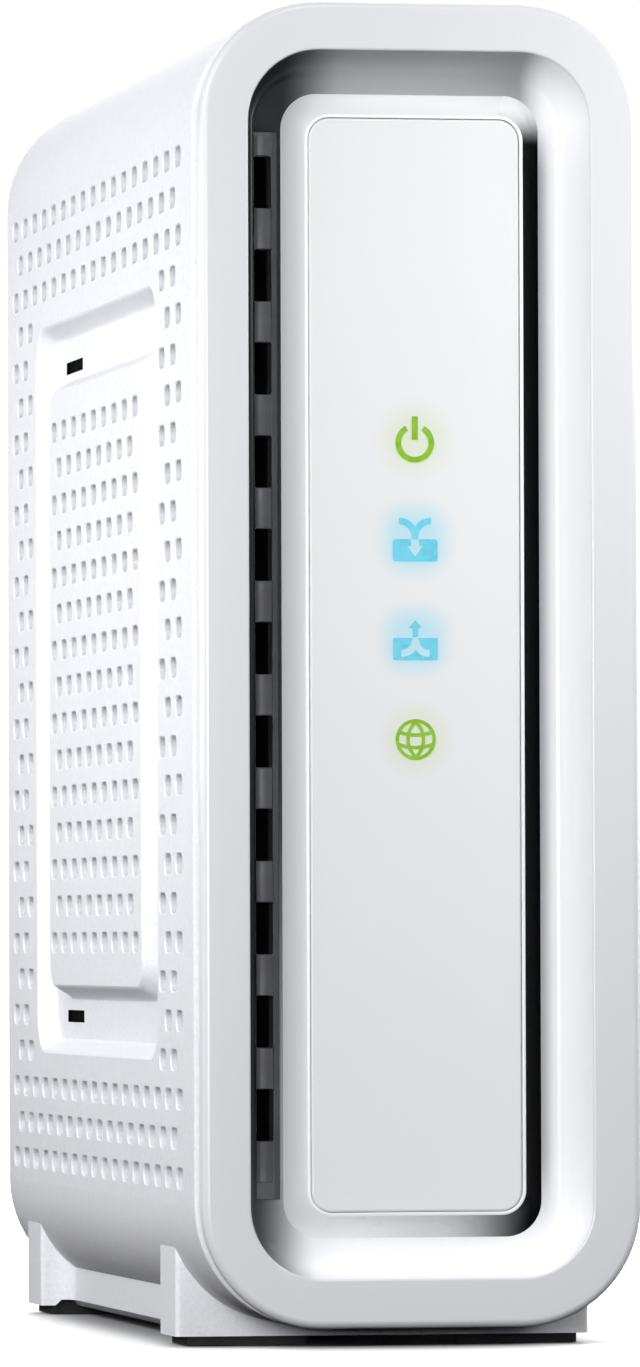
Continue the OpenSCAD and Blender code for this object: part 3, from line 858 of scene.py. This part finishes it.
def case_side(b, at):
    """The case's flat side: two skins with the pressed channel, joined round each vent and latch hole."""
    border = ([(d, SIDE_Z[0]) for d in SIDE_D[:-1]] + [(SIDE_D[-1], z) for z in SIDE_Z[:-1]]
              + [(d, SIDE_Z[-1]) for d in SIDE_D[:0:-1]] + [(SIDE_D[0], z) for z in SIDE_Z[:0:-1]])
    shares = (0, 0.11, 0.22, 0.5, 0.78, 0.89, 1)
    creases = [outline(*grown(CHANNEL, -SLOPE * s)) for s in shares]
    creases += [outline(*grown(SIDE_ISLAND, SLOPE * s)) for s in shares]
    vents = list(vent_centres())
    latches = [square_loop(*latch) for latch in LATCHES]
    loops = [border] + creases + latches + [vent_loop(vent, RIM) for vent in vents]
    points, triangles = cut_sheet(loops, LATCHES)
    middle = centres(points, triangles)
    in_vent = np.zeros(len(triangles), bool)
    for vent in vents:
        along, up = np.abs(middle - vent).T
        in_vent |= np.hypot(np.maximum(along - VENT_STRAIGHT, 0), up) <= (VENT_W / 2 + RIM) * CHORD
    sunk = side_depth(points)
    for skin in (0, WALL):
        b.sheet([at(skin + s - HALF_W, d, z) for (d, z), s in zip(points, sunk)], triangles[~in_vent])
    for vent in vents:
        wide, narrow = vent_loop(vent, RIM), vent_loop(vent)
        b.loft([[at(x - HALF_W, *p) for p in loop]
                for x, loop in ((0, wide), (RIM, narrow), (WALL - RIM, narrow), (WALL, wide))])
    outside = CHANNEL_DEPTH - HALF_W
    for latch in latches:
        # Painted shade: the latch holes' walls take the black finish.
        b.wall(latch, lambda d, z: at(outside, d, z), lambda d, z: at(outside + WALL, d, z), paint=1)


def case(name, side, finish, shadow):
    """One half of the case."""
    b = Build()
    case_edges(b, on_side(side))
    case_side(b, on_side(side))
    flatten_sides(make(f"{name}_case", b, [finish, shadow], [f"{name}_shell"],
                       sharp=34, weighted=False))


def latch_shade_blocks(name, side, finish):
    """Black blocks that close the latch holes just behind the surface: painted shade inside the holes."""
    x0, x1 = sorted(side * (CHANNEL_DEPTH + inset - HALF_W) for inset in (0.35, WALL - 0.1))
    b = Build()
    for d0, d1, z0, z1 in LATCHES:
        b.box((x0, FRONT + d0, z0), (x1, FRONT + d1, z1))
    make(f"{name}_latch_shade_blocks", b, [finish])


# ---- pedestal

# Depths of the two feet, half widths of the feet and of the web between them, and their roundings
FOOT_D = ((21.3, 30.9), (109.1, 118.7))
FOOT_X, WEB_X = 21.1, 17.6
FOOT_EDGE, FOOT_FILLET = 0.5, 2.6
WEB_LOW = 1.6
CREASE_X = (3, 6.5, 10, 13, 15.5, WEB_X - 0.6, 18.8, 20.2)


def foot_outline():
    """Plan of half the pedestal: two feet, the web between them and concave corners."""
    x = FOOT_X - FOOT_EDGE

    def foot(d0, d1):
        return arc(x, d0 + FOOT_EDGE, FOOT_EDGE, -90, 0, 3) + arc(x, d1 - FOOT_EDGE, FOOT_EDGE, 0, 90, 3)

    (start, a), (b, end) = FOOT_D
    web = arc(WEB_X + FOOT_FILLET, a + FOOT_FILLET, FOOT_FILLET, 270, 180, 6)
    web += arc(WEB_X + FOOT_FILLET, b - FOOT_FILLET, FOOT_FILLET, 180, 90, 6)
    return [(0, start)] + foot(start, a) + web + foot(b, end) + [(0, end)]


def hidden_top(x):
    """Height of the middle of the case's curved wall, at a distance from its centre line."""
    middle_r = CORNER_R - WALL / 2
    over = np.clip(x - (HALF_W - CORNER_R), 0, middle_r - 0.2)
    return UNDER + CORNER_R - sqrt(middle_r ** 2 - over ** 2)


def foot_bottom(depth):
    """Height of the underside: lower in the feet than in the web."""
    return shell_low[2] if any(d0 - 0.1 <= depth <= d1 + 0.1 for d0, d1 in FOOT_D) else WEB_LOW


def pedestal(name, side, finish):
    """Feet and web under one half of the case; its top hides inside the case's wall."""
    plan = foot_outline()
    start, end = FOOT_D[0][0] - 1, FOOT_D[1][1] + 1
    points, triangles = triangulate([plan], [((x, start), (x, end)) for x in CREASE_X])
    triangles = triangles[within(plan, centres(points, triangles))]
    at = on_side(side)
    top = [at(-max(x, SEAM_X[0]), d, hidden_top(x)) for x, d in points]
    bottom = [at(-max(x, SEAM_X[0]), d, foot_bottom(d)) for x, d in points]
    b = Build()
    b.sheet(top, triangles)
    b.sheet(bottom, triangles)
    for i, j in rim_edges(triangles):
        b.face(b.add([top[i], top[j], bottom[j], bottom[i]]))
    make(f"{name}_pedestal", b, [finish], [f"{name}_shell"], sharp=34)


# ---- rear connectors

coax_low, coax_high = box_mm("coax_port")
nut_low, nut_high = box_mm("coax_nut")
washer_low, washer_high = box_mm("coax_washer")
COAX_X, COAX_Z = (nut_low[0] + nut_high[0]) / 2, (nut_low[2] + nut_high[2]) / 2
TURN = 60

# The 3/8 inch coax thread, with its profile along one pitch, and the bore and base of the socket
THREAD_R = 4.7625
THREAD_PITCH = 25.4 / 32
THREAD_DEPTH = 0.44
THREAD_SHAPE = (0, 0.35, 1, 1, 1, 0.65, 0, 0)
CHAMFER = 0.25
BORE_R = 3.2
BASE_D, BASE_R, BASE_EDGE = 13.5, 0.6, 0.3

# The lock washer's teeth: their number, their radius and the radius between them
TEETH, TOOTH_STEPS = 16, 8
TOOTH_R, GAP_R = 6.55, 5.75
TOOTH_SHARE, TOOTH_TWIST = 0.6, 0.24


def round_row(y, radius, x=COAX_X, z=COAX_Z, count=TURN):
    """A ring of points about an axis along Y. The radius is a number or a function of the angle."""
    angles = np.linspace(0, 2 * pi, count, endpoint=False)
    radii = [radius(a) if callable(radius) else radius for a in angles]
    return [(x + r * cos(a), y, z + r * sin(a)) for a, r in zip(angles, radii)]


def thread_row(k, start, tip):
    """One turn of the helix at step k of the thread's profile, faded out at the root and the tip."""
    height = THREAD_SHAPE[k % len(THREAD_SHAPE)]
    row = []
    for share in np.linspace(0, 1, TURN + 1):
        y = start + (k / len(THREAD_SHAPE) - 1 + share) * THREAD_PITCH
        clamped = min(max(y, start), tip)
        fade = min((tip - clamped) / 0.9, 1) * min((clamped - start) / 0.4, 1)
        r = THREAD_R - THREAD_DEPTH * (1 - height * fade) - (CHAMFER if y > tip else 0)
        a = 2 * pi * share
        row.append((COAX_X + r * cos(a), clamped, COAX_Z + r * sin(a)))
    return row


def coax(finish):
    """Threaded barrel on a square base: a true helical thread with a lead-in."""
    start, tip = nut_high[1] - 2.6, coax_high[1]
    y0, y1 = coax_low[1], coax_low[1] + BASE_D
    turns = int((tip - start) / THREAD_PITCH) + 2
    root_r = THREAD_R - THREAD_DEPTH
    b = Build()
    b.loft([thread_row(k, start, tip) for k in range(turns * len(THREAD_SHAPE))], closed=False)
    b.loft([round_row(y, r) for y, r in (
        (tip, root_r - CHAMFER), (tip, BORE_R + 0.2), (tip - 0.2, BORE_R), (y1 - 0.1, BORE_R),
        (y1 - 0.1, root_r), (start, root_r))])
    sides = (coax_low[0], coax_high[0], coax_low[2], coax_high[2], BASE_R)
    steps = ((y0, -BASE_EDGE), (y0 + BASE_EDGE, 0), (y1 - BASE_EDGE, 0), (y1, -BASE_EDGE))
    b.solid([[(x, y, z) for x, z in outline(*grown(sides, by))] for y, by in steps])
    make("coax_barrel", b, [finish], ["coax_port"], sharp=28)


def hex_nut(metal):
    """Hex nut with turned chamfers on both faces."""
    y0, y1 = nut_low[1], nut_high[1]
    flats = (nut_high[2] - nut_low[2]) / 2
    rows = [round_row(y0, THREAD_R - 0.04, count=2 * TURN)]
    for t in np.linspace(0, 1, 13):
        limit = flats + 0.05 + 1.9 * min(t, 1 - t) * (y1 - y0)
        rows.append(round_row(y0 + (y1 - y0) * t, lambda a: min(
            flats / cos(a % (pi / 3) - pi / 6), limit), count=2 * TURN))
    rows.append(round_row(y1, THREAD_R + 0.35, count=2 * TURN))
    rows.append(round_row(y1 - 0.3, THREAD_R - 0.04, count=2 * TURN))
    b = Build()
    b.ring(rows)
    make("coax_hex_nut", b, [metal], ["coax_nut"], sharp=24)


def lock_washer(metal):
    """Washer with twisted teeth around its edge."""
    y0, y1 = washer_low[1] + 0.15, washer_high[1] - 0.15
    rows = []
    for y, outer in ((y0, False), (y0, True), (y1, True), (y1, False)):
        row = []
        for i in range(TEETH * TOOTH_STEPS):
            a = 2 * pi * i / (TEETH * TOOTH_STEPS)
            phase = (i % TOOTH_STEPS) / TOOTH_STEPS
            tooth = outer and phase < TOOTH_SHARE
            r = TOOTH_R if tooth else GAP_R if outer else THREAD_R + 0.1
            twist = (phase / TOOTH_SHARE - 0.5) * TOOTH_TWIST if tooth else 0
            row.append((COAX_X + r * cos(a), y + twist, COAX_Z + r * sin(a)))
        rows.append(row)
    b = Build()
    b.ring(rows)
    make("coax_lock_washer", b, [metal], ["coax_washer"], sharp=20)


# The network jacks and their contact wires
JACKS = ("ethernet_jack_1", "ethernet_jack_2")
WIRES, WIRE_PITCH = 8, 1.02
WIRE_R, WIRE_SIDES, WIRE_BOW = 0.2, 8, 2.0


def wire(b, path):
    """A round wire along a path that stays at one height."""
    rows = []
    path = [np.array(p, float) for p in path]
    up = np.array([0.0, 0.0, 1.0])
    for i, p in enumerate(path):
        ahead = path[min(i + 1, len(path) - 1)] - path[max(i - 1, 0)]
        across = np.cross(ahead / np.linalg.norm(ahead), up)
        rows.append([p + WIRE_R * (cos(a) * up + sin(a) * across)
                     for a in np.linspace(0, 2 * pi, WIRE_SIDES, endpoint=False)])
    b.solid(rows)


def contacts(finish):
    """Eight sprung wires in each network jack, curved from their mould into the mouth."""
    low, high = box_mm("jack_contacts")
    path = []
    for t in np.linspace(0, 1, 15):
        bow = WIRE_BOW * sin(pi * min(t * 0.62, 0.5)) ** 1.4
        path.append((high[0] - WIRE_R - bow, high[1] - 0.3 - (high[1] - low[1] - 0.7) * t))
    b = Build()
    for jack in JACKS:
        jack_low, jack_high = box_mm(jack)
        middle = (jack_low[2] + jack_high[2]) / 2
        for i in range(WIRES):
            z = middle + (i - (WIRES - 1) / 2) * WIRE_PITCH
            wire(b, [(x, y, z) for x, y in path])
    make("jack_wires", b, [finish], ["jack_contacts"])


# The two case screws: places, radii of the shank and head, thread, and the recess's arm
SCREW_SEATS = ((-10.8, 121.5), (10.8, 13.5))
SHANK_R, HEAD_R = 1.05, 2.5
SCREW_PITCH = 0.4
ARM_L, ARM_W = 2.7, 0.55


def screw_profile(tip_y, head_y, top_y):
    """Radius and place of a pan-head screw's rings, from its tip to its crown."""
    shank_y = tip_y + 0.6
    profile = [(0.02, tip_y), (0.6, tip_y), (SHANK_R, shank_y)]
    for y in np.arange(shank_y, head_y - SCREW_PITCH, SCREW_PITCH):
        profile += [(SHANK_R, y), (SHANK_R - 0.25, y + SCREW_PITCH / 2)]
    rim_y = head_y + 0.3
    profile += [(SHANK_R, head_y), (HEAD_R - 0.1, head_y), (HEAD_R, rim_y)]
    return profile + [(HEAD_R * cos(a) ** 0.8, rim_y + (top_y - rim_y) * sin(a))
                      for a in np.radians((20, 40, 60, 80))]


def screws(finish):
    """Pan-head screws with a tapered cross recess."""
    top_y = BACK - 0.6
    profile = screw_profile(box_mm("panel_screws")[0][1], BACK - 1.9, top_y)
    b, crosses = Build(), Build()
    for x, z in SCREW_SEATS:
        b.solid([round_row(y, r, x, z, 32) for r, y in profile])
        for wide, tall in ((ARM_L, ARM_W), (ARM_W, ARM_L)):
            rows = []
            for share, y in ((0.35, top_y - 0.85), (1, top_y + 0.2)):
                w, t = max(wide * share, ARM_W) / 2, max(tall * share, ARM_W) / 2
                rows.append([(px, y, pz) for px, pz in square_loop(x - w, x + w, z - t, z + t)])
            crosses.solid(rows)
    piece = make("case_screws", b, [finish], ["panel_screws"], sharp=30, weighted=False)
    subtract(piece, crosses)


# ---- carried-over CAD nodes

def dress(node, material, bevel=0.0):
    """A CAD node keeps its shape and gets its finish and, where it shows, softened edges."""
    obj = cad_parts[node]
    obj.data.materials.clear()
    obj.data.materials.append(material)
    if bevel:
        weld = obj.modifiers.new("weld", "WELD")
        weld.merge_threshold = 1e-6
        soften(obj, bevel)


# ---- light, floor and camera

def surround():
    """A world that the camera sees as white, and that lights the object dimly from above left."""
    world = bpy.data.worlds.new("surround")
    bpy.context.scene.world = world
    sky = Tree(world)
    ways = sky.node("SeparateXYZ", {0: sky.node("TexCoord", {}).outputs["Generated"]}).outputs
    upwards = sky.ramp(ways[2], -0.2, 0.6, 0.0, 0.27, "LINEAR")
    leftwards = sky.ramp(ways[0], -0.1, 0.8, 1.0, 0.2, "LINEAR")
    lit = sky.nodes["Background"]
    sky.put(lit.inputs["Color"], (0.92, 0.94, 1, 1))
    sky.put(lit.inputs["Strength"], sky.product(upwards, leftwards))
    seen = sky.node("Background", {"Color": (1, 1, 1, 1), "Strength": 1.05})
    by_camera = sky.node("LightPath", {}).outputs["Is Camera Ray"]
    blend = sky.node("MixShader", {0: by_camera, 1: lit.outputs[0], 2: seen.outputs[0]})
    sky.put(sky.nodes["World Output"].inputs["Surface"], blend.outputs[0])


def area_light(name, place, aim, size, power):
    """A soft box that the camera doesn't see: its place, the point that it faces, its size and power."""
    data = bpy.data.lights.new(name, "AREA")
    data.shape = "RECTANGLE"
    data.size, data.size_y = size
    data.energy = power
    light = add_object(name, data)
    light.location = place
    light.rotation_euler = (Vector(aim) - Vector(place)).to_track_quat("-Z", "Y").to_euler()
    light.visible_camera = False


# Soft boxes on every side, and small ones close by for the gleams on the bezel
LIGHTS = {
    "left_strip": ((-0.12, -0.01, 0.092), (0, -0.01, 0.088), (0.26, 0.07), 0.163),
    "front_soft": ((-0.90, -0.86, 0.55), (0, 0, 0.07), (0.7, 0.7), 8.0),
    "front_low": ((-0.18, -0.85, 0.09), (0, 0, 0.05), (0.3, 0.1), 2.5),
    "front_glow": ((0.02, -0.34, 0.32), (0, 0, 0.1), (0.06, 0.06), 0.1),
    "right_glow": ((0.1, -0.12, 0.125), (0.02, -0.06, 0.09), (0.05, 0.05), 0.085),
    "back_soft": ((0.35, 1.0, 0.4), (0, 0, 0.07), (0.7, 0.7), 10.0),
    "right_soft": ((1.0, 0.3, 0.35), (0, 0, 0.07), (0.7, 0.7), 7.0),
    "top_soft": ((0.15, 0.35, 1.0), (0, 0, 0.1), (0.6, 0.6), 3.5),
}


# The shade on the floor, in millimetres: its middle, its full strength's half sizes, and its reach
SHADE_X, SHADE_HALF_W, SHADE_HALF_D = 1.5, 19.5, 46.0
SHADE_REACH, CONTACT_REACH = 18, 6


def floor():
    """A bright floor with soft shade under and beside the feet, seen only by the camera."""
    f = Finish("floor_white")
    away = f.distance((f.x, SHADE_X, SHADE_HALF_W), (f.y, 0.0, SHADE_HALF_D))
    pale = f.mix(f.noise(60, 2), (0.86, 0.86, 0.87, 1), (0.9, 0.9, 0.91, 1))
    tone = f.mix(f.step(away, 0, CONTACT_REACH, 0.4, 1), (0.02, 0.02, 0.02, 1), pale)
    f.set(Base_Color=tone, Roughness=0.7, Emission_Color=(1, 1, 1, 1),
          Emission_Strength=f.step(away, 0, SHADE_REACH))
    bm = bmesh.new()
    bmesh.ops.create_circle(bm, cap_ends=True, radius=4, segments=96)
    mesh = bpy.data.meshes.new("floor")
    bm.to_mesh(mesh)
    bm.free()
    mesh.materials.append(f.material)
    ground = add_object("floor", mesh)
    ground.location.z = -0.05 * MM
    ground.visible_diffuse = False
    ground.visible_glossy = False


# The camera's place, its turn to the right, upwards and about its own line of sight, and its lens
CAMERA_PLACE = (-185.68, -1021.55, 40.36)
CAMERA_TURN = (10.425, 1.498, -0.175)
LENS = 260.27


def camera():
    """Long lens, a little left of the front and low, as the object is usually seen on a shelf."""
    yaw, pitch, roll = (radians(a) for a in CAMERA_TURN)
    turn = Matrix.Rotation(-yaw, 4, "Z") @ Matrix.Rotation(pi / 2 + pitch, 4, "X")
    data = bpy.data.cameras.new("camera")
    data.sensor_width = 36
    data.lens = LENS
    data.clip_end = 20
    cam = add_object("camera", data)
    cam.matrix_world = Matrix.Translation(Vector(CAMERA_PLACE) * MM) @ turn @ Matrix.Rotation(roll, 4, "Z")
    bpy.context.scene.camera = cam


# ---- assembly

def main():
    camera()
    surround()
    for name, light in LIGHTS.items():
        area_light(name, *light)
    floor()
    bpy.context.scene.view_settings.view_transform = "Standard"

    shell_white = shell_finish()
    # Black for painted shade: the sheet behind the slots, the latch holes' walls and the blocks in them.
    painted_black = moulded("shade_black", srgb(2, 2, 3), 0.8, 0.5, 0.01, 0.2, Specular_IOR_Level=0.05)
    nickel = metal_finish("nickel_plate", srgb(206, 203, 196), 0.24, 0.4)
    steel = metal_finish("screw_zinc", srgb(176, 178, 182), 0.34)
    tin = metal_finish("tin_sheet", srgb(196, 198, 200), 0.3, 0.4, (1, 0.08, 1))
    gold = metal_finish("contact_plate", srgb(226, 182, 92), 0.22, 0.3, (1, 0.2, 1))
    sink = metal_finish("sink_extrusion", srgb(178, 181, 186), 0.4, 0.3, (1, 0.05, 1))

    # The groove and the island take whites lighter than the ring's: painted light; the groove's finish also
    # holds painted shade.
    bezel([bezel_finish("bezel_gloss", srgb(219, 220, 223)), groove_finish(),
           bezel_finish("island_painted_light", srgb(248, 249, 251))])
    slots = grille_finish()
    grille(slots)
    grille_ribs(slots)
    slot_shade_sheet(painted_black)
    shadow_strip()
    label(plate_finish())
    for name, side in (("left", 1), ("right", -1)):
        case(name, side, shell_white, painted_black)
        latch_shade_blocks(name, side, painted_black)
        pedestal(name, side, shell_white)
    coax(nickel)
    hex_nut(nickel)
    lock_washer(tin)
    contacts(gold)
    screws(steel)

    lenses = {hue: icon_finish(hue) for hue in HUES}
    for node, hue, _ in ICONS:
        dress(node, lenses[hue])

    dress("light_guide", clear_finish("guide_acrylic", srgb(226, 240, 244)), 0.1)
    dress("light_shield", moulded("shield_black", srgb(20, 20, 22), 0.6), 0.1)
    dress("rear_panel", moulded("panel_matte", srgb(232, 233, 236), 0.5, 0.5, 0.02), 0.15)
    dress("rating_label", label_finish())
    rubber = moulded("rubber_black", srgb(17, 17, 18), 0.72, 0.5, 0.02, 0.15, Sheen_Weight=0.05)
    dress("foot_pads", rubber, 0.35)
    dress("main_board", board_finish(), 0.05)
    chip = moulded("chip_epoxy", srgb(34, 34, 37), 0.55, 0.3, 0.01, 0.08)
    for node in ("system_chip", "memory_chips", "flash_chip", "network_chip", "lan_transformers"):
        dress(node, chip, 0.12)
    dress("thermal_pad", moulded("pad_silicone", srgb(120, 156, 190), 0.7, 0.3, 0.02), 0.1)
    dress("heat_sink", sink, 0.15)
    dress("tuner_shield", tin, 0.2)
    dress("crystal", nickel, 0.5)
    dress("inductors", moulded("inductor_ferrite", srgb(74, 76, 80), 0.6, 0.4, 0.03, 0.1), 0.5)
    dress("capacitors", moulded("capacitor_sleeve", srgb(38, 42, 66), 0.35, 0.8, 0.01, 0.06), 0.4)
    dress("chip_parts", moulded("chip_ceramic", srgb(176, 146, 104), 0.5, 0.2, 0.01, 0.1), 0.08)
    dress("status_leds", clear_finish("led_epoxy", srgb(240, 238, 208), 0.4), 0.15)
    jack = moulded("jack_nylon", srgb(62, 63, 66), 0.5, 0.3, 0.015, 0.06)
    for node in JACKS:
        dress(node, jack, 0.12)
    dress("jack_shields", tin)
    dress("jack_lights", clear_finish("jack_lens", srgb(196, 226, 150), 0.1), 0.1)
    dress("coax_insulator", moulded("insulator_white", srgb(232, 230, 222), 0.4), 0.1)
    dress("coax_contact", gold)
    dress("dc_jack", moulded("dc_black", srgb(24, 24, 26), 0.45), 0.2)
    dress("dc_pin", nickel, 0.3)
    dress("reset_button", moulded("button_red", srgb(176, 42, 38), 0.42, 0.4, 0.01, 0.05), 0.25)
    dress("reset_plunger", moulded("plunger_nylon", srgb(226, 224, 216), 0.45), 0.1)
    dress("reset_switch", tin, 0.2)
    dress("board_screws", steel, 0.1)


main()
